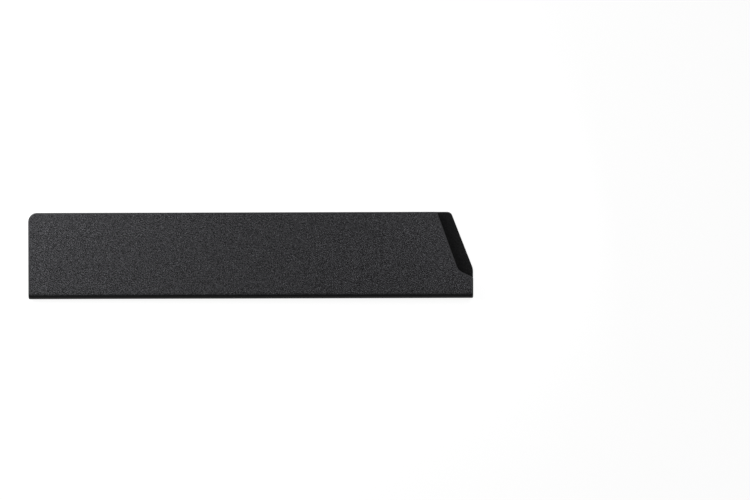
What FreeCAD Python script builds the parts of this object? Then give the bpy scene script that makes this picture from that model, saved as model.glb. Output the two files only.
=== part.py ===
import FreeCAD, Part
import math
import os
import Sketcher

# Knife blade guard: one springy plastic sheet folded lengthwise into a narrow U and lined with felt.
# It lies on its back panel. X runs along the blade, with the tip end at -X and the handle end at +X.
# Y runs from the fold (-Y) to the open mouth (+Y), and Z from the back panel up to the front panel.
# The origin is under the middle of the guard, in the plane that the back panel lies on. Sizes are in mm.
# The sheet flexes at the crest of its fold, so the fold is made as two halves, one on each leaf.

SIZES = (
    ("guard_length", 250.0, "tip end to handle end"),
    ("guard_height", 48.5, "crest of the fold to the mouth edge"),
    ("sheet_thickness", 1.5, "plastic sheet"),
    ("film_thickness", 0.1, "adhesive film under the felt"),
    ("felt_thickness", 0.9, "felt lining"),
    ("blade_gap", 2.0, "free slot between the two felts"),
    ("edge_round", 0.7, "rounding of the outer edges"),
    ("tip_corner_radius", 5.0, "mouth corner at the tip end, both panels"),
    ("front_cut_top", 20.3, "front panel: how far the heel cut stands in at the mouth"),
    ("front_cut_foot", 8.3, "front panel: how far the heel cut stands in at its foot"),
    ("front_cut_foot_height", 15.5, "front panel: foot of the heel cut, above the fold crest"),
    ("front_lip_height", 11.6, "front panel: end of the lip, above the fold crest"),
    ("front_foot_radius", 6.0, "front panel: hollow corner at the foot of the heel cut"),
    ("front_lip_radius", 1.2, "front panel: corner at the end of the lip"),
    ("front_mouth_radius", 1.5, "front panel: mouth corner at the handle end"),
    ("back_cut_top", 12.4, "back panel: how far the heel cut stands in at the mouth"),
    ("back_cut_height", 16.5, "back panel: foot of the heel cut, above the fold crest"),
    ("back_foot_radius", 8.0, "back panel: blunt corner at the foot of the heel cut"),
    ("back_mouth_radius", 3.0, "back panel: mouth corner at the handle end"),
    ("felt_inset", 0.4, "felt kept back from the sheet's cut edges"),
    ("film_inset", 0.8, "adhesive kept back from the sheet's cut edges"),
    ("die_radius", 0.2, "smallest corner that the cutting die leaves in felt and film"),
    ("flex_gap", 0.15, "slit between the leaves at the crest of the fold"),
)

# Worked-out places, as formulas of the sizes.
FOLD_INNER = "(dims.blade_gap / 2 + dims.felt_thickness + dims.film_thickness)"
FOLD_OUTER = f"({FOLD_INNER} + dims.sheet_thickness)"
TIP_X = "(-dims.guard_length / 2)"
HANDLE_X = "(dims.guard_length / 2)"
CREST_Y = "(-dims.guard_height / 2)"
MOUTH_Y = "(dims.guard_height / 2)"
FOLD_Y = f"({CREST_Y} + {FOLD_OUTER})"

# Heights of the layers' lower faces. The middle of the slot is at the fold's own centre.
BACK_PANEL_Z = "0"
BACK_FILM_Z = "dims.sheet_thickness"
BACK_FELT_Z = f"({BACK_FILM_Z} + dims.film_thickness)"
FRONT_FELT_Z = f"({FOLD_OUTER} + dims.blade_gap / 2)"
FRONT_FILM_Z = f"({FRONT_FELT_Z} + dims.felt_thickness)"
FRONT_PANEL_Z = f"({FRONT_FILM_Z} + dims.film_thickness)"

NO_INSET = "0"
FELT_INSET = "dims.felt_inset"
FILM_INSET = "dims.film_inset"
SHARP = None
TOLERANCE = 1e-4

doc = FreeCAD.newDocument("blade_guard")
sheet = doc.addObject("Spreadsheet::Sheet", "dims")
for row, (alias, value, meaning) in enumerate(SIZES, start=1):
    sheet.set(f"A{row}", alias)
    sheet.set(f"B{row}", str(value))
    sheet.set(f"C{row}", meaning)
    sheet.setAlias(f"B{row}", alias)
doc.recompute()


def amount(formula):
    """The present value of a formula of the sizes."""
    return float(sheet.evalExpression(formula))


def new_body(node):
    body = doc.addObject("PartDesign::Body", node)
    body.Label = node
    return body


def new_sketch(body, name, plane_role):
    """An empty sketch on one of the body's own origin planes."""
    sketch = body.newObject("Sketcher::SketchObject", name)
    plane = next(item for item in body.Origin.OriginFeatures if item.Role == plane_role)
    sketch.AttachmentSupport = [(plane, "")]
    sketch.MapMode = "FlatFace"
    return sketch


def join(sketch, kind, *places):
    """Add a constraint that has no size."""
    sketch.addConstraint(Sketcher.Constraint(kind, *places))


def bind(sketch, name, kind, *places, formula):
    """Add a dimension to a sketch and tie it to a formula of the sizes."""
    index = sketch.addConstraint(Sketcher.Constraint(kind, *places, amount(formula)))
    sketch.renameConstraint(index, name)
    sketch.setExpression(f"Constraints.{name}", formula)


def pin_point(sketch, name, curve, end, x_formula, y_formula):
    """Tie a point of the sketch to a place measured from the sketch's origin."""
    bind(sketch, name + "_x", "DistanceX", -1, 1, curve, end, formula=x_formula)
    bind(sketch, name + "_y", "DistanceY", -1, 1, curve, end, formula=y_formula)


def arc_through(sketch, centre, radius, first, last):
    """Add the arc that runs counter-clockwise from one point to another about a centre."""
    first_angle = math.atan2(first.y - centre.y, first.x - centre.x)
    last_angle = math.atan2(last.y - centre.y, last.x - centre.x)
    circle = Part.Circle(centre, FreeCAD.Vector(0, 0, 1), radius)
    return sketch.addGeometry(Part.ArcOfCircle(circle, first_angle, last_angle))


def rounded_corner(before, corner, after, radius):
    """Where an arc of this radius leaves the two sides of a corner, its centre and which way it turns."""
    to_before = (before - corner).normalize()
    to_after = (after - corner).normalize()
    half_angle = to_before.getAngle(to_after) / 2
    reach = radius / math.tan(half_angle)
    centre = corner + (to_before + to_after).normalize() * (radius / math.sin(half_angle))
    turns_left = to_after.cross(to_before).z > 0
    return corner + to_before * reach, corner + to_after * reach, centre, turns_left


def outline(sketch, corners):
    """Draw a closed outline, counter-clockwise, from (name, x, y, radius) corners given as formulas."""
    points = [FreeCAD.Vector(amount(x), amount(y), 0) for _, x, y, _ in corners]
    arrive, leave, arcs = list(points), list(points), [None] * len(points)
    for index, (name, x, y, radius) in enumerate(corners):
        if radius is SHARP:
            continue
        before, after = points[index - 1], points[(index + 1) % len(points)]
        start, end, centre, turns_left = rounded_corner(before, points[index], after, amount(radius))
        first, last = (start, end) if turns_left else (end, start)
        arcs[index] = arc_through(sketch, centre, amount(radius), first, last), turns_left
        arrive[index], leave[index] = start, end
    next_arrivals = arrive[1:] + arrive[:1]
    sides = [sketch.addGeometry(Part.LineSegment(a, b)) for a, b in zip(leave, next_arrivals)]
    for index, (name, x, y, radius) in enumerate(corners):
        side_in, side_out = sides[index - 1], sides[index]
        if radius is SHARP:
            join(sketch, "Coincident", side_in, 2, side_out, 1)
            pin_point(sketch, name, side_out, 1, x, y)
            continue
        arc, turns_left = arcs[index]
        arc_in, arc_out = (1, 2) if turns_left else (2, 1)
        join(sketch, "Tangent", side_in, 2, arc, arc_in)
        join(sketch, "Tangent", side_out, 1, arc, arc_out)
        bind(sketch, name + "_radius", "Radius", arc, formula=radius)
        corner_point = sketch.addGeometry(Part.Point(points[index]), True)
        join(sketch, "PointOnObject", corner_point, 1, side_in)
        join(sketch, "PointOnObject", corner_point, 1, side_out)
        pin_point(sketch, name, corner_point, 1, x, y)


def pad(body, sketch, length_formula, symmetric=False):
    feature = body.newObject("PartDesign::Pad", sketch.Name + "_pad")
    feature.Profile = sketch
    if symmetric:
        feature.SideType = "Symmetric"
    feature.setExpression("Length", length_formula)
    doc.recompute()
    return feature


def round_edges(body, base, is_chosen):
    """Round the chosen edges of a feature by the sheet's edge rounding."""
    edges = base.Shape.Edges
    chosen = [f"Edge{number}" for number, edge in enumerate(edges, start=1) if is_chosen(edge)]
    rounding = body.newObject("PartDesign::Fillet", base.Name + "_round")
    rounding.Base = (base, chosen)
    rounding.setExpression("Radius", "dims.edge_round")
    doc.recompute()


def outer_corner(radius, inset):
    """The radius of an outward corner once its outline is held back by an inset."""
    return radius if inset == NO_INSET else f"max({radius} - {inset}; dims.die_radius)"


# The two outlines. With no inset they are the plastic panel, and with one the layer glued inside it,
# held back by that much from every cut edge. On the fold side each layer runs on to the bend.
def back_corners(inset):
    lean = "(dims.back_cut_top / (dims.guard_height - dims.back_cut_height))"
    stretch = f"sqrt(1 + {lean} * {lean})"
    tip_x = f"{TIP_X} + {inset}"
    handle_x = f"{HANDLE_X} - {inset}"
    mouth_y = f"{MOUTH_Y} - {inset}"
    foot_y = f"{CREST_Y} + dims.back_cut_height + {inset} * (1 - {stretch}) / {lean}"
    cut_x = f"{HANDLE_X} - dims.back_cut_top + {inset} * ({lean} - {stretch})"
    return (
        ("fold_tip", tip_x, FOLD_Y, SHARP),
        ("fold_handle", handle_x, FOLD_Y, SHARP),
        ("cut_foot", handle_x, foot_y, outer_corner("dims.back_foot_radius", inset)),
        ("cut_mouth", cut_x, mouth_y, outer_corner("dims.back_mouth_radius", inset)),
        ("tip_mouth", tip_x, mouth_y, outer_corner("dims.tip_corner_radius", inset)),
    )


def front_corners(inset):
    cut_run = "(dims.front_cut_top - dims.front_cut_foot)"
    lean = f"({cut_run} / (dims.guard_height - dims.front_cut_foot_height))"
    drop = "((dims.front_cut_foot_height - dims.front_lip_height) / dims.front_cut_foot)"
    lean_stretch = f"sqrt(1 + {lean} * {lean})"
    drop_stretch = f"sqrt(1 + {drop} * {drop})"
    tip_x = f"{TIP_X} + {inset}"
    handle_x = f"{HANDLE_X} - {inset}"
    mouth_y = f"{MOUTH_Y} - {inset}"
    lip_y = f"{CREST_Y} + dims.front_lip_height + {inset} * ({drop} - {drop_stretch})"
    foot_shift = f"({inset} * ({lean} * {drop_stretch} - {lean_stretch}) / (1 - {lean} * {drop}))"
    foot_x = f"{HANDLE_X} - dims.front_cut_foot + {foot_shift}"
    foot_y = f"{CREST_Y} + dims.front_cut_foot_height - {drop} * {foot_shift} - {inset} * {drop_stretch}"
    cut_x = f"{HANDLE_X} - dims.front_cut_top + {inset} * ({lean} - {lean_stretch})"
    return (
        ("fold_tip", tip_x, FOLD_Y, SHARP),
        ("fold_handle", handle_x, FOLD_Y, SHARP),
        ("lip_end", handle_x, lip_y, outer_corner("dims.front_lip_radius", inset)),
        ("cut_foot", foot_x, foot_y, f"dims.front_foot_radius + {inset}"),
        ("cut_mouth", cut_x, mouth_y, outer_corner("dims.front_mouth_radius", inset)),
        ("tip_mouth", tip_x, mouth_y, outer_corner("dims.tip_corner_radius", inset)),
    )


def flat_layer(node, corners, thickness, height):
    """A flat layer of the guard, cut to an outline and lying at a height above the ground plane."""
    body = new_body(node)
    sketch = new_sketch(body, node + "_outline", "XY_Plane")
    outline(sketch, corners)
    layer = pad(body, sketch, thickness)
    body.setExpression("Placement.Base.z", height)
    return body, layer


def plastic_panel(node, corners, height, outer_face):
    """A panel of the sheet, rounded along the cut edges of its outer face."""
    body, layer = flat_layer(node, corners, "dims.sheet_thickness", height)
    face_z, bend_y = amount(outer_face), amount(FOLD_Y)

    def is_outer_cut_edge(edge):
        on_face = all(abs(vertex.Z - face_z) < TOLERANCE for vertex in edge.Vertexes)
        on_bend = all(abs(vertex.Y - bend_y) < TOLERANCE for vertex in edge.Vertexes)
        return on_face and not on_bend

    round_edges(body, layer, is_outer_cut_edge)
    return body


def bent_layer(node, side, inner_radius, outer_radius, length):
    """A quarter tube: a layer's way from its panel round to the crest of the fold.
    The side is 1 for the front leaf, above the crest, and -1 for the back leaf, below it."""
    body = new_body(node)
    sketch = new_sketch(body, node + "_section", "YZ_Plane")
    slit_z = f"{FOLD_OUTER} + {side} * dims.flex_gap / 2"
    centre = FreeCAD.Vector(amount(FOLD_Y), amount(FOLD_OUTER), 0)
    slit_rise = amount(slit_z) - centre.y
    panel_end, crest_end = (1, 2) if side > 0 else (2, 1)
    arcs, panel_points, crest_points = [], [], []
    for name, radius in (("outer", outer_radius), ("inner", inner_radius)):
        size = amount(radius)
        at_panel = centre + FreeCAD.Vector(0, side * size, 0)
        at_crest = centre + FreeCAD.Vector(-math.sqrt(size ** 2 - slit_rise ** 2), slit_rise, 0)
        first, last = (at_panel, at_crest) if side > 0 else (at_crest, at_panel)
        arc = arc_through(sketch, centre, size, first, last)
        bind(sketch, name, "Radius", arc, formula=radius)
        arcs.append(arc)
        panel_points.append(at_panel)
        crest_points.append(at_crest)
    outer_arc, inner_arc = arcs
    panel_line = sketch.addGeometry(Part.LineSegment(*panel_points))
    crest_line = sketch.addGeometry(Part.LineSegment(*crest_points))
    for line, end in ((panel_line, panel_end), (crest_line, crest_end)):
        join(sketch, "Coincident", line, 1, outer_arc, end)
        join(sketch, "Coincident", line, 2, inner_arc, end)
    join(sketch, "Coincident", inner_arc, 3, outer_arc, 3)
    join(sketch, "Vertical", panel_line)
    join(sketch, "Vertical", outer_arc, 3, outer_arc, panel_end)
    join(sketch, "Horizontal", crest_line)
    bind(sketch, "slit", "DistanceY", -1, 1, crest_line, 1, formula=slit_z)
    pin_point(sketch, "centre", outer_arc, 3, FOLD_Y, FOLD_OUTER)
    return body, pad(body, sketch, length, symmetric=True)


def plastic_fold(node, side):
    """Half of the sheet's fold, rounded along its rim at both ends of the guard."""
    body, bend = bent_layer(node, side, FOLD_INNER, FOLD_OUTER, "dims.guard_length")
    outer_radius = amount(FOLD_OUTER)

    def is_end_rim(edge):
        return isinstance(edge.Curve, Part.Circle) and abs(edge.Curve.Radius - outer_radius) < TOLERANCE

    round_edges(body, bend, is_end_rim)
    return body


def felt_fold(node, side):
    """Half of the felt's way round the fold. No adhesive holds it there."""
    felt_outer = "dims.blade_gap / 2 + dims.felt_thickness"
    felt_length = "dims.guard_length - 2 * dims.felt_inset"
    return bent_layer(node, side, "dims.blade_gap / 2", felt_outer, felt_length)[0]


BACK_SIDE, FRONT_SIDE = -1, 1

nodes = [
    # The plastic sheet, from the panel underneath, round the fold, to the panel on top.
    plastic_panel("back_panel", back_corners(NO_INSET), BACK_PANEL_Z, "0"),
    plastic_fold("back_fold", BACK_SIDE),
    plastic_fold("front_fold", FRONT_SIDE),
    plastic_panel("front_panel", front_corners(NO_INSET), FRONT_PANEL_Z, "dims.sheet_thickness"),
    # The adhesive films on the two panels.
    flat_layer("back_adhesive_film", back_corners(FILM_INSET), "dims.film_thickness", BACK_FILM_Z)[0],
    flat_layer("front_adhesive_film", front_corners(FILM_INSET), "dims.film_thickness", FRONT_FILM_Z)[0],
    # The felt, laid over the films and carried round the fold.
    flat_layer("back_felt", back_corners(FELT_INSET), "dims.felt_thickness", BACK_FELT_Z)[0],
    felt_fold("back_fold_felt", BACK_SIDE),
    felt_fold("front_fold_felt", FRONT_SIDE),
    flat_layer("front_felt", front_corners(FELT_INSET), "dims.felt_thickness", FRONT_FELT_Z)[0],
]

doc.recompute()
for item in doc.Objects:
    if "Invalid" in item.State or "Error" in item.State:
        raise RuntimeError(f"{item.Label} failed: {item.State}")
    if item.TypeId == "Sketcher::SketchObject" and not item.FullyConstrained:
        raise RuntimeError(f"{item.Label} is not fully constrained")
for body in nodes:
    if body.Shape.isNull() or not body.Shape.isValid() or len(body.Shape.Solids) != 1:
        raise RuntimeError(f"{body.Label} is not one valid solid")

os.makedirs("parts", exist_ok=True)
for body in nodes:
    body.Shape.exportStep(f"parts/{body.Label}.step")
    box = body.Shape.optimalBoundingBox()
    print(f"{body.Label}: {body.Shape.Volume:.1f} mm3, "
          f"x {box.XMin:.2f} to {box.XMax:.2f}, y {box.YMin:.2f} to {box.YMax:.2f}, "
          f"z {box.ZMin:.2f} to {box.ZMax:.2f}")
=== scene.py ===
import math

import bpy
import numpy as np
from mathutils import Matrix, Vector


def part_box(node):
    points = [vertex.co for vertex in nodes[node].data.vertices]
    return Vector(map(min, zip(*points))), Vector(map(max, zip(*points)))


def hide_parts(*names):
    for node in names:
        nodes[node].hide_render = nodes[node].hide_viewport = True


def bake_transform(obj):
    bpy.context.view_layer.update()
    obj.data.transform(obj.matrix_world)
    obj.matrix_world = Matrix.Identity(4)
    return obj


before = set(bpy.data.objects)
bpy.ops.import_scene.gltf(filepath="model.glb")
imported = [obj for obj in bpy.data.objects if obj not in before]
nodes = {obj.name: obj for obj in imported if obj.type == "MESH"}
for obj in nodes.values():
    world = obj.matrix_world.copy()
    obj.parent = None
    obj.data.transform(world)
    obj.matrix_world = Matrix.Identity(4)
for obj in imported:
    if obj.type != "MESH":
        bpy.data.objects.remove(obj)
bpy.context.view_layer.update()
scene = bpy.context.scene
scene.view_settings.view_transform = "Standard"
print("frame loaded:", ", ".join(sorted(nodes)))

# overall sizes, read from the frame
backLow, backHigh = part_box("back_panel")
feltLow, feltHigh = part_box("back_felt")
tipX, handleX = backLow.x, backHigh.x
foldY, mouthY = backLow.y, backHigh.y  # the two edges of a panel: where the bend begins, and the mouth
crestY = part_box("front_fold")[0].y
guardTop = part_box("front_panel")[1].z
foldRadius = guardTop / 2  # outside of the bend
halfBend = foldRadius * math.pi / 2  # length of the outer face from the crest to either panel
sheetThickness = backHigh.z - backLow.z

# the cut of the sheet, in metres, as it lies flat before it is folded
sheetCut = {
    "tipCorner": 0.005,
    "frontCutTop": 0.0203,  # how far the heel cut stands in at the mouth
    "frontCutFoot": 0.0083,
    "frontFootHeight": 0.0155,  # heights are above the crest of the fold
    "frontLipHeight": 0.0116,
    "frontLipRadius": 0.0012,
    "frontFootRadius": 0.006,
    "frontMouthRadius": 0.0015,
    "backCutTop": 0.0124,
    "backFootHeight": 0.0165,
    "backFootRadius": 0.008,
    "backMouthRadius": 0.003,
}


# corners of a panel's cut edge, from its handle end round to its tip end, each with its radius
def frontCorners():
    cut = sheetCut
    return [
        (handleX, foldY, 0),
        (handleX, crestY + cut["frontLipHeight"], cut["frontLipRadius"]),
        (handleX - cut["frontCutFoot"], crestY + cut["frontFootHeight"], cut["frontFootRadius"]),
        (handleX - cut["frontCutTop"], mouthY, cut["frontMouthRadius"]),
        (tipX, mouthY, cut["tipCorner"]),
        (tipX, foldY, 0),
    ]


def backCorners():
    cut = sheetCut
    return [
        (handleX, foldY, 0),
        (handleX, crestY + cut["backFootHeight"], cut["backFootRadius"]),
        (handleX - cut["backCutTop"], mouthY, cut["backMouthRadius"]),
        (tipX, mouthY, cut["tipCorner"]),
        (tipX, foldY, 0),
    ]


# walks round a cut edge; returns its points, their outward normals,
# and which point is the middle of each rounded corner
def roundedPath(corners, lineSteps, arcSteps):
    places = [np.array(c[:2]) for c in corners]
    ways = [(b - a) / np.linalg.norm(b - a) for a, b in zip(places, places[1:])]
    points = [places[0]]
    normals = [np.array((ways[0][1], -ways[0][0]))]
    middles = []
    for i, way in enumerate(ways):
        outward = np.array((way[1], -way[0]))
        isLast = i == len(ways) - 1
        reach = 0.0  # from the corner back to where its rounding begins
        if not isLast:
            onward = ways[i + 1]
            radius = corners[i + 1][2]
            turn = math.atan2(way[0] * onward[1] - way[1] * onward[0], way @ onward)
            reach = radius * math.tan(abs(turn) / 2)
        lineEnd = places[i + 1] - way * reach
        for stepsLeft in range(lineSteps[i], 0, -1):
            points.append(points[-1] + (lineEnd - points[-1]) / stepsLeft)
            normals.append(outward)
        if isLast:
            break
        side = math.copysign(1, turn)
        centre = lineEnd - side * radius * outward
        middles.append(len(points) - 1 + arcSteps[i] // 2)
        for step in range(1, arcSteps[i] + 1):
            angle = turn * step / arcSteps[i]
            c, s = math.cos(angle), math.sin(angle)
            turned = np.array((c * outward[0] - s * outward[1], s * outward[0] + c * outward[1]))
            points.append(centre + side * radius * turned)
            normals.append(turned)
    return np.array(points), np.array(normals), middles


# how finely each panel is meshed along its cut edge, and at which rounded corners that edge is divided
# into sides; what faces across a panel, or across the fold, has the same number of steps on both sides
panels = {
    "front": {
        "corners": frontCorners,
        "lineSteps": [6, 6, 14, 70, 25],
        "arcSteps": [6, 8, 8, 12],
        "divide": [0, 1, 2, 3],
    },
    "back": {
        "corners": backCorners,
        "lineSteps": [6, 20, 83, 30],
        "arcSteps": [6, 8, 12],
        "divide": [1, 2],
    },
}


# the sides of a panel from its handle end round to its tip end, held in by an inset
def cutSides(panel, inset, fine):
    lines = [fine * n for n in panel["lineSteps"]]
    arcs = [fine * n for n in panel["arcSteps"]]
    points, normals, middles = roundedPath(panel["corners"](), lines, arcs)
    points = points - inset * normals
    ends = [0] + [middles[k] for k in panel["divide"]] + [len(points) - 1]
    return [points[a:b + 1] for a, b in zip(ends, ends[1:])]


# how far along a line each of its points lies, from 0 to 1
def shares(points):
    steps = np.linalg.norm(np.diff(points, axis=0), axis=1)
    run = np.concatenate(([0], np.cumsum(steps)))
    return run / run[-1]


# fills the space between four sides with a grid (a Coons patch)
def patch(fold, mouth, handle, tip):
    up = ((shares(handle) + shares(tip)) / 2)[:, None, None]
    across = ((shares(fold) + shares(mouth)) / 2)[None, :, None]
    grid = (1 - up) * fold[None] + up * mouth[None]
    grid = grid + (1 - across) * handle[:, None] + across * tip[:, None]
    low = (1 - across) * fold[0] + across * fold[-1]
    high = (1 - across) * mouth[0] + across * mouth[-1]
    return grid - (1 - up) * low - up * high


# a straight line with as many points as another
def straightLine(a, b, like):
    return a + (b - a) * np.linspace(0, 1, len(like))[:, None]


# the flat places of one face of the sheet, as two grids: the front beside the heel cut,
# and all that is below it, over the fold to the back mouth
def layerFace(inset, fine, foldSteps):
    handle, lip, heel, mouth, tip = cutSides(panels["front"], inset, fine)
    backHandle, backMouth, backTip = cutSides(panels["back"], inset, fine)
    rise = len(handle) - 1
    underFoot = np.array((heel[0][0], foldY))
    footLine = straightLine(underFoot, heel[0], like=handle)
    mainFold = straightLine(underFoot, tip[-1], like=mouth)
    lipFold = straightLine(handle[0], underFoot, like=lip)
    main = patch(mainFold, mouth, np.concatenate((footLine, heel[1:])), tip[::-1])
    under = np.concatenate((patch(lipFold, lip, handle, footLine), main[:rise + 1, 1:]), axis=1)
    back = patch(under[0], backMouth, backHandle, backTip[::-1])
    # y becomes the way along the sheet from the crest: above 0 on the front, below 0 on the back
    for front in (main, under):
        front[..., 1] += halfBend - foldY
    back[..., 1] = foldY - halfBend - back[..., 1]
    fold = np.empty((foldSteps - 1, back.shape[1], 2))
    fold[..., 0] = back[0, :, 0]
    fold[..., 1] = np.linspace(halfBend, -halfBend, foldSteps + 1)[1:-1, None]
    return main[:rise - 1:-1], np.concatenate((under[::-1], fold, back))


# the angle round the bend from the crest, a quarter turn on the panels
def bendAngle(flat):
    return np.clip(flat[..., 1] / foldRadius, -math.pi / 2, math.pi / 2)


# folds flat places up round the bend, at a depth below the sheet's outer face
def foldUp(flat, depth):
    turn = bendAngle(flat)
    past = np.maximum(np.abs(flat[..., 1]) - halfBend, 0)
    radius = foldRadius - depth
    y = foldY + past - radius * np.cos(turn)
    z = foldRadius + radius * np.sin(turn)
    return np.stack((flat[..., 0], y, z), -1)


# the border of the two grids of a face, from the handle end of the front mouth all the way round
def rimOf(upper, lower):
    lip = lower.shape[1] - upper.shape[1]
    return np.concatenate((
        upper[0, :-1],  # front mouth
        upper[:-1, -1],  # upper tip end
        lower[:-1, -1],  # lower tip end, on over the fold and the back
        lower[-1, :0:-1],  # back mouth
        lower[:0:-1, 0],  # handle end, from the back over the fold
        lower[0, :lip],  # front lip
        upper[:0:-1, 0],  # front heel cut
    ))


# a rounded edge as insets and depths: from a face at a level out to the rim,
# or where side is -1 from the rim back to the face
def roundedEdge(inset, level, side, radius, steps):
    arc = []
    for turn in np.linspace(0, math.pi / 2, steps + 1):
        arc.append((inset + radius * (1 - math.sin(turn)), level + side * radius * (1 - math.cos(turn))))
    return arc[::side]


# a layer's mesh, with its flat places as a UV map and what its material reads as values on its points
def layerPiece(name, made, faces):
    mesh = bpy.data.meshes.new(name)
    mesh.from_pydata(made["points"].tolist(), [], faces.tolist())
    corner = np.empty(len(mesh.loops), np.int32)
    mesh.loops.foreach_get("vertex_index", corner)
    flatSheet = mesh.uv_layers.new(name="flatSheet")
    flatSheet.uv.foreach_set("vector", made["flat"][corner].astype(np.float32).ravel())
    for key in ("bend", "band", "depth"):
        attribute = mesh.attributes.new(key, "FLOAT", "POINT")
        attribute.data.foreach_set("value", made[key].astype(np.float32))
    mesh.shade_smooth()
    piece = bpy.data.objects.new(name, mesh)
    scene.collection.objects.link(piece)
    return piece


# a closed folded layer: an outer face, loops round its rim and an inner face, each an inset and a depth;
# fine multiplies the steps in panels, and the band is 0 on the outer face and 1 from the first loop on
def foldedLayer(name, outer, loops, inner, fine, foldSteps, unevenness=None):
    stacks = {"points": [], "flat": [], "band": [], "depth": []}

    def add(flat, depth, band):
        start = sum(len(p) for p in stacks["flat"])
        count = flat.size // 2
        moved = unevenness(flat, depth) if unevenness else (flat, depth)
        stacks["points"].append(foldUp(*moved).reshape(-1, 3))
        stacks["flat"].append(flat.reshape(-1, 2))
        stacks["band"].append(np.full(count, band))
        stacks["depth"].append(np.full(count, depth))
        return start + np.arange(count).reshape(flat.shape[:-1])

    def addFace(inset, depth, band):
        upper, lower = layerFace(inset, fine, foldSteps)
        lowerIndex = add(lower, depth, band)
        upperIndex = add(upper[:-1], depth, band)
        shared = lowerIndex[:1, -upper.shape[1]:]
        return np.concatenate((upperIndex, shared)), lowerIndex

    outerFace = addFace(*outer, 0.0)
    innerFace = addFace(*inner, 1.0)
    rings = [rimOf(*outerFace)]
    for inset, depth in loops:
        rings.append(add(rimOf(*layerFace(inset, fine, foldSteps)), depth, 1.0))
    rings.append(rimOf(*innerFace))
    faces = []
    for face, step in ((outerFace, 1), (innerFace, -1)):
        for grid in face:
            quads = np.stack((grid[:-1, :-1], grid[:-1, 1:], grid[1:, 1:], grid[1:, :-1]), -1)
            faces.append(quads.reshape(-1, 4)[:, ::step])
    for a, b in zip(rings, rings[1:]):
        faces.append(np.stack((a, b, np.roll(b, -1), np.roll(a, -1)), -1))
    made = {key: np.concatenate(stack) for key, stack in stacks.items()}
    made["bend"] = np.cos(bendAngle(made["flat"]))
    return layerPiece(name, made, np.concatenate(faces))


# gives a node's inputs, by name or in order, fixed values or outputs; a node stands for its first output
def setInputs(tree, node, inputs):
    pairs = inputs.items() if isinstance(inputs, dict) else enumerate(inputs)
    for key, value in pairs:
        if isinstance(value, bpy.types.Node):
            value = value.outputs[0]
        if isinstance(value, bpy.types.NodeSocket):
            tree.links.new(value, node.inputs[key])
        else:
            node.inputs[key].default_value = value


def addNode(tree, kind, inputs=(), **settings):
    node = tree.nodes.new("ShaderNode" + kind)
    for key, value in settings.items():
        setattr(node, key, value)
    setInputs(tree, node, inputs)
    return node


# carries values from one range over to another
def remap(tree, value, start=(0.0, 1.0), end=(0.0, 1.0), **settings):
    ranges = {"From Min": start[0], "From Max": start[1], "To Min": end[0], "To Max": end[1]}
    return addNode(tree, "MapRange", {"Value": value, **ranges}, **settings)


def newMaterial(name):
    material = bpy.data.materials.new(name)
    material.use_nodes = True
    tree = material.node_tree
    return material, tree, tree.nodes["Principled BSDF"]


# the place on the flat sheet with the depth into it as its third coordinate
def placeInSheet(tree):
    flat = addNode(tree, "UVMap", uv_map="flatSheet")
    depth = addNode(tree, "Attribute", attribute_name="depth").outputs["Fac"]
    return addNode(tree, "VectorMath", [depth, (0, 0, 1), flat], operation="MULTIPLY_ADD")


# camera straight above the front panel, framed as the photograph is
cameraSetup = {
    "aim": (0.06985, 0.00288),  # what is in the middle of the frame
    "viewWidth": 0.4213,  # metres across the frame at the front panel
    "distance": 3.0,
    "sensor": 36.0,  # millimetres
    "roll": -0.17,  # degrees
}


def makeCamera():
    data = bpy.data.cameras.new("camera")
    data.sensor_width = cameraSetup["sensor"]
    data.lens = cameraSetup["sensor"] * cameraSetup["distance"] / cameraSetup["viewWidth"]
    camera = bpy.data.objects.new("camera", data)
    camera.location = (*cameraSetup["aim"], guardTop + cameraSetup["distance"])
    camera.rotation_euler.z = math.radians(cameraSetup["roll"])
    scene.collection.objects.link(camera)
    scene.camera = camera


makeCamera()
print("camera placed")

# grained black plastic: low pebbles of small facets that lean every way; smooth where it is cut or bent
# its colour holds painted light: glints on the bright facets, and shade in the hollows, at facet rims,
# on the cut edges and round the bend
plasticLook = {
    "pit": (0.004, 0.004, 0.0043, 1),  # colour of the dimmest facets
    "crown": (0.161, 0.161, 0.1723, 1),  # and of the brightest, whose brightness is painted glints
    "edge": ((0.026, 0.026, 0.0277, 1), (0.042, 0.042, 0.0447, 1)),  # two tones of the cut edges, darker than the faces: painted shade
    # two dark tones round the bend: painted shade of the fold, on plastic that the stretch has made
    # smooth
    "bend": ((0.005, 0.005, 0.0054, 1), (0.011, 0.011, 0.0118, 1)),
    "drawn": (0.015, 0.00025),  # length and width of the lines drawn along the bend
    "pebbleSize": 0.00055,
    "pebbleRise": 0.0006,  # for the noise's whole range from 0 to 1
    "pebbleLevels": (0.3, 0.7),  # noise levels in a hollow and on top of a pebble
    "pebbleShade": (0.4, 1.6),  # brightness of the facets there, as a share of their own: painted shade in the hollows; on the tops, partly wear and partly painted sheen
    "grainSize": 0.00021,
    "grainSoftness": 0.12,  # how far neighbouring facets run into each other
    "grainLean": 0.4,  # steepest slope of a facet, each way
    "grainRise": 0.00005,
    "grainReach": 0.7,  # where a facet's crown has sunk to its rim, in grain sizes
    "rimShade": 0.45,  # brightness of that rim, as a share of the crown's: painted shade
    "glintRarity": 1.5,  # above 1, fewer facets are bright with painted glints
    "dustSize": 0.0002625,  # of the fine noise that frays the facets
    "roughness": (0.68, 0.5),  # where the fine noise is low and where it is high
    "smoothRoughness": (0.5, 0.34),  # where the noise of the drawn lines is low and where it is high
    "specular": 0.1,
    "grainFades": (0.08, 0.54),  # share of the way out to the crest, seen from straight above, where the grain fades and the painted shade of the bend comes in
}


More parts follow.
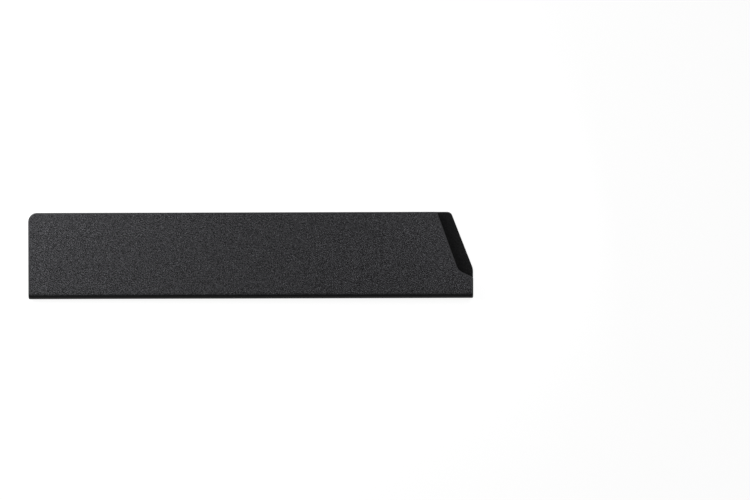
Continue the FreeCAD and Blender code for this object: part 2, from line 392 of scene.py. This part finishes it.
def makePlastic():
    look = plasticLook
    material, tree, shader = newMaterial("grainedPlastic")
    place = placeInSheet(tree)
    dust = addNode(tree, "TexNoise", {"Vector": place, "Scale": 1 / look["dustSize"], "Detail": 2.0})

    # smooth on the cut edges, on the inside and round the bend, grained on the rest
    band = addNode(tree, "Attribute", attribute_name="band").outputs["Fac"]
    bend = addNode(tree, "Attribute", attribute_name="bend").outputs["Fac"]
    stretched = remap(tree, bend, start=look["grainFades"], interpolation_type="SMOOTHSTEP")
    smooth = addNode(tree, "Math", [band, stretched], operation="MAXIMUM")
    grained = addNode(tree, "Math", [1.0, smooth], operation="SUBTRACT")

    # facets with frayed borders, and the pebbles that they lie on
    fray = (look["grainSize"], look["grainSize"], 0)
    frayed = addNode(tree, "VectorMath", [dust.outputs["Color"], fray, place], operation="MULTIPLY_ADD")
    cells = {"Vector": frayed, "Scale": 1 / look["grainSize"], "Smoothness": look["grainSoftness"]}
    facet = addNode(tree, "TexVoronoi", cells, voronoi_dimensions="2D", feature="SMOOTH_F1").outputs
    crown = remap(tree, facet["Distance"], start=(look["grainReach"], 0.0))
    pebble = addNode(tree, "TexNoise", {"Vector": place, "Scale": 1 / look["pebbleSize"], "Detail": 0.0})

    # height: the pebbles, and on them a slope and a low crown of every facet's own
    fromMiddle = addNode(tree, "VectorMath", [frayed, facet["Position"]], operation="SUBTRACT")
    lean = addNode(tree, "VectorMath", [facet["Color"], (0.5, 0.5, 0.5)], operation="SUBTRACT")
    slope = addNode(tree, "VectorMath", [fromMiddle, lean], operation="DOT_PRODUCT").outputs["Value"]
    dome = addNode(tree, "Math", [crown, look["grainRise"]], operation="MULTIPLY")
    relief = addNode(tree, "Math", [pebble, look["pebbleRise"], dome], operation="MULTIPLY_ADD")
    steepness = 2 * look["grainLean"]  # lean runs from -0.5 to 0.5
    height = addNode(tree, "Math", [slope, steepness, relief], operation="MULTIPLY_ADD")
    bump = addNode(tree, "Bump", {"Strength": grained, "Distance": 1.0, "Height": height})

    # brightness: by chance for every facet; less at its rim and in the hollows, painted shade, and more
    # on top of the pebbles, partly wear and partly painted sheen
    chance = addNode(tree, "SeparateColor", [facet["Color"]]).outputs["Blue"]
    rare = addNode(tree, "Math", [chance, look["glintRarity"]], operation="POWER")
    # painted shade towards each facet's rim
    shade = remap(tree, crown, end=(look["rimShade"], 1.0))
    glintFleck = addNode(tree, "Math", [rare, shade], operation="MULTIPLY")
    # painted shade in the pebbles' hollows, and on their tops partly wear and partly painted sheen
    paintedPebbleShade = remap(tree, pebble, start=look["pebbleLevels"], end=look["pebbleShade"], clamp=False)
    lit = addNode(tree, "Math", [glintFleck, paintedPebbleShade], operation="MULTIPLY", use_clamp=True)
    # the facets' colour: tone that differs at random, with painted glints on the brightest facets
    speckleAndGlints = addNode(tree, "MixRGB", [lit, look["pit"], look["crown"]])

    # fine lines along the bend in two tones of painted shade, and plain cut edges, darkened as painted
    # shade
    along = addNode(tree, "VectorMath", [place, (*look["drawn"], 1)], operation="DIVIDE")
    lines = {"Vector": along, "Scale": 1.0, "Detail": 3.0}
    drawn = addNode(tree, "TexNoise", lines, noise_dimensions="2D")
    edge = addNode(tree, "MixRGB", [dust, *look["edge"]])
    bendShade = addNode(tree, "MixRGB", [drawn, *look["bend"]])
    # the cut edges and the inside take the edge tones, which are painted shade
    panel = addNode(tree, "MixRGB", [band, speckleAndGlints, edge])

    rough = remap(tree, dust, end=look["roughness"])
    sleek = remap(tree, drawn, end=look["smoothRoughness"])
    setInputs(tree, shader, {
        # the colour turns to the bend's painted shade where the grain fades out
        "Base Color": addNode(tree, "MixRGB", [stretched, panel, bendShade]),
        "Roughness": addNode(tree, "Mix", {"Factor": smooth, "A": rough, "B": sleek}),
        "Normal": bump,
        "Specular IOR Level": look["specular"],
    })
    return material


# black needled felt: fibres that cross at several angles over soft lumps
feltLook = {
    "hollow": (0.004, 0.004, 0.0042, 1),
    "fibre": (0.020, 0.020, 0.021, 1),
    "fibreWidth": 0.00011,
    "fibreLength": 0.0016,
    "fibreAngles": (12, 71, 128, 163),  # degrees
    "fibreWander": 0.6,
    "fibreCover": (0.5, 0.8),  # noise levels where a fibre begins and is full
    "lump": 0.0012,
    "rise": 0.00012,
    "roughness": 0.95,
    "specular": 0.15,
    "sheen": 0.08,
    "sheenRoughness": 0.4,
}


def makeFelt():
    look = feltLook
    material, tree, shader = newMaterial("blackFelt")
    place = placeInSheet(tree)
    fibreSize = (look["fibreLength"], look["fibreWidth"], look["fibreWidth"])
    strands = 0.0
    for angle in look["fibreAngles"]:
        turn = {"Vector": place, "Angle": math.radians(angle)}
        turned = addNode(tree, "VectorRotate", turn, rotation_type="Z_AXIS")
        stretched = addNode(tree, "VectorMath", [turned, fibreSize], operation="DIVIDE")
        fibre = {"Vector": stretched, "Scale": 1.0, "Detail": 1.0, "Distortion": look["fibreWander"]}
        strands = addNode(tree, "Math", [strands, addNode(tree, "TexNoise", fibre)], operation="MAXIMUM")
    cover = remap(tree, strands, start=look["fibreCover"])
    lump = addNode(tree, "TexNoise", {"Vector": place, "Scale": 1 / look["lump"], "Detail": 2.0})
    height = addNode(tree, "Math", [cover, lump], operation="ADD")
    setInputs(tree, shader, {
        "Base Color": addNode(tree, "MixRGB", [cover, look["hollow"], look["fibre"]]),
        "Roughness": look["roughness"],
        "Normal": addNode(tree, "Bump", {"Distance": look["rise"], "Height": height}),
        "Specular IOR Level": look["specular"],
        "Sheen Weight": look["sheen"],
        "Sheen Roughness": look["sheenRoughness"],
    })
    return material


# clear adhesive over black plastic, a little cloudy
filmLook = {
    "clear": (0.075, 0.073, 0.068, 1),
    "cloudy": (0.125, 0.121, 0.112, 1),
    "cloudSize": 0.0006,
    "roughness": (0.25, 0.45),  # where it is clear and where it is cloudy
}


def makeFilm():
    look = filmLook
    material, tree, shader = newMaterial("adhesiveFilm")
    place = addNode(tree, "TexCoord").outputs["Object"]
    cloud = addNode(tree, "TexNoise", {"Vector": place, "Scale": 1 / look["cloudSize"], "Detail": 3.0})
    setInputs(tree, shader, {
        "Base Color": addNode(tree, "MixRGB", [cloud, look["clear"], look["cloudy"]]),
        "Roughness": remap(tree, cloud, end=look["roughness"]),
    })
    return material


# the folded plastic sheet
shellShape = {
    "edgeRound": 0.0007,
    "edgeSteps": 5,
    "innerRound": 0.0002,
    "innerSteps": 3,
    "fine": 1,  # times the steps in panels
    "foldSteps": 24,
    "bandWidth": 0.0003,  # where the grain fades out beside the rounded edge
}


def makeShell():
    shape = shellShape
    big, small = shape["edgeRound"], shape["innerRound"]
    loops = roundedEdge(0.0, 0.0, 1, big, shape["edgeSteps"])
    loops += roundedEdge(0.0, sheetThickness, -1, small, shape["innerSteps"])[:-1]
    shell = foldedLayer("foldedShell", (big + shape["bandWidth"], 0.0), loops, (small, sheetThickness),
                        fine=shape["fine"], foldSteps=shape["foldSteps"])
    shell.data.materials.append(makePlastic())
    shell.modifiers.new("flatFaces", "WEIGHTED_NORMAL")
    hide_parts("back_panel", "back_fold", "front_fold", "front_panel")
    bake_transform(shell)


makeShell()
print("folded shell made")

# the felt lining
feltShape = {
    "edgeRound": 0.00025,
    "edgeSteps": 3,
    "fine": 2,  # times the steps in panels
    "foldSteps": 18,
    "stray": 0.00004,  # how far its cut edge wanders
    "strayLength": 0.0052,
    "straySeeds": (3, 4),
    "lump": 0.00003,  # how far its free face swells and sinks
    "lumpLength": 0.0075,
    "lumpSeed": 5,
    "waves": 14,
    "wavePaces": (0.6, 1.4),  # fewest and most waves in such a length
}


# smooth random swell over the flat sheet, from waves that run every way; about -2 to 2
def swell(flat, length, seed):
    waves = feltShape["waves"]
    chance = np.random.default_rng(seed)
    total = 0.0
    for _ in range(waves):
        angle, phase = chance.uniform(0, 2 * math.pi, 2)
        pace = 2 * math.pi / length * chance.uniform(*feltShape["wavePaces"])
        run = flat[..., 0] * math.cos(angle) + flat[..., 1] * math.sin(angle)
        total = total + np.sin(pace * run + phase)
    return total / math.sqrt(waves / 2)


def makeLining():
    shape = feltShape
    inset = feltLow.x - tipX
    glued, free = feltLow.z, feltHigh.z  # depths of its two faces
    soft = shape["edgeRound"]

    def unevenness(flat, depth):
        stray = np.stack([swell(flat, shape["strayLength"], seed) for seed in shape["straySeeds"]], -1)
        lump = swell(flat, shape["lumpLength"], shape["lumpSeed"]) * (depth - glued) / (free - glued)
        return flat + shape["stray"] * stray, depth + shape["lump"] * lump

    loops = roundedEdge(inset, glued, 1, soft, shape["edgeSteps"])[1:]
    loops += roundedEdge(inset, free, -1, soft, shape["edgeSteps"])[:-1]
    lining = foldedLayer("feltLining", (inset + soft, glued), loops, (inset + soft, free),
                         fine=shape["fine"], foldSteps=shape["foldSteps"], unevenness=unevenness)
    lining.data.materials.append(makeFelt())
    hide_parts("back_felt", "back_fold_felt", "front_fold_felt", "front_felt")
    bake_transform(lining)

    # the rim of its flat layout, gathered but not used
    # the flat layout has the bend as long as it is outside, which is longer than in the felt
    x, y = rimOf(*layerFace(inset, shape["fine"], shape["foldSteps"])).T


makeLining()
print("felt lining made")

film = makeFilm()
for name in ("back_adhesive_film", "front_adhesive_film"):
    nodes[name].data.materials.clear()
    nodes[name].data.materials.append(film)
print("adhesive films dressed")

# white floor with a low wall round it, soft light
stage = {
    "floorRadius": 5.0,
    "floorSides": 64,
    "floorGap": 0.00005,  # below the guard, so that their faces don't lie in one plane
    "wallHeight": 1.0,
    "sweep": 0.6,  # radius of the bend from the floor up into the wall
    "sweepSteps": 8,
    "floorColour": 0.17,
    "floorGlow": 0.92,  # brings the floor to white where it is seen
    "ambient": 0.15,
    "lamps": {  # place, size and power
        "key": ((-0.24, 0.14, 0.2), 0.3, 1.56),
        "fill": ((0.165, 0.03, 0.08), 0.06, 0.055),
    },
}


# 1 where a surface is seen, directly, in gloss or through glass, and 0 where it only lights others
def seenDirectly(tree):
    path = addNode(tree, "LightPath").outputs
    either = addNode(tree, "Math", [path["Is Camera Ray"], path["Is Glossy Ray"]], operation="MAXIMUM")
    return addNode(tree, "Math", [either, path["Is Transmission Ray"]], operation="MAXIMUM")


def makeFloor():
    radius, sweep, sides = stage["floorRadius"], stage["sweep"], stage["floorSides"]
    profile = []
    for turn in np.linspace(0, math.pi / 2, stage["sweepSteps"] + 1):
        profile.append((radius - sweep + sweep * math.sin(turn), sweep * (1 - math.cos(turn))))
    profile.append((radius, stage["wallHeight"]))
    points = []
    faces = [tuple(range(sides))]
    for ring, (reach, rise) in enumerate(profile):
        for side in range(sides):
            angle = 2 * math.pi * side / sides
            points.append((reach * math.cos(angle), reach * math.sin(angle), rise))
            if ring:
                after = (side + 1) % sides
                low, high = (ring - 1) * sides, ring * sides
                faces.append((low + side, low + after, high + after, high + side))
    mesh = bpy.data.meshes.new("floor")
    mesh.from_pydata(points, [], faces)
    floor = bpy.data.objects.new("floor", mesh)
    floor.location.z = -stage["floorGap"]
    scene.collection.objects.link(floor)
    material, tree, shader = newMaterial("paleFloor")
    grey = stage["floorColour"]
    glow = addNode(tree, "Math", [seenDirectly(tree), stage["floorGlow"]], operation="MULTIPLY")
    setInputs(tree, shader, {
        "Base Color": (grey, grey, grey, 1),
        "Roughness": 1.0,
        "Specular IOR Level": 0.0,
        "Emission Color": (1, 1, 1, 1),
        "Emission Strength": glow,
    })
    mesh.materials.append(material)


# a round lamp that faces the origin
def makeLamp(name, place, size, power):
    data = bpy.data.lights.new(name, "AREA")
    data.shape = "DISK"
    data.size = size
    data.energy = power
    lamp = bpy.data.objects.new(name, data)
    lamp.location = place
    lamp.rotation_mode = "QUATERNION"
    lamp.rotation_quaternion = (-lamp.location).to_track_quat("-Z", "Y")
    lamp.visible_camera = False
    scene.collection.objects.link(lamp)


def makeWorld():
    world = bpy.data.worlds.new("world")
    world.use_nodes = True
    back = world.node_tree.nodes["Background"]
    back.inputs["Color"].default_value = (1, 1, 1, 1)
    back.inputs["Strength"].default_value = stage["ambient"]
    scene.world = world


makeFloor()
for name, settings in stage["lamps"].items():
    makeLamp(name, *settings)
makeWorld()
print("stage set")
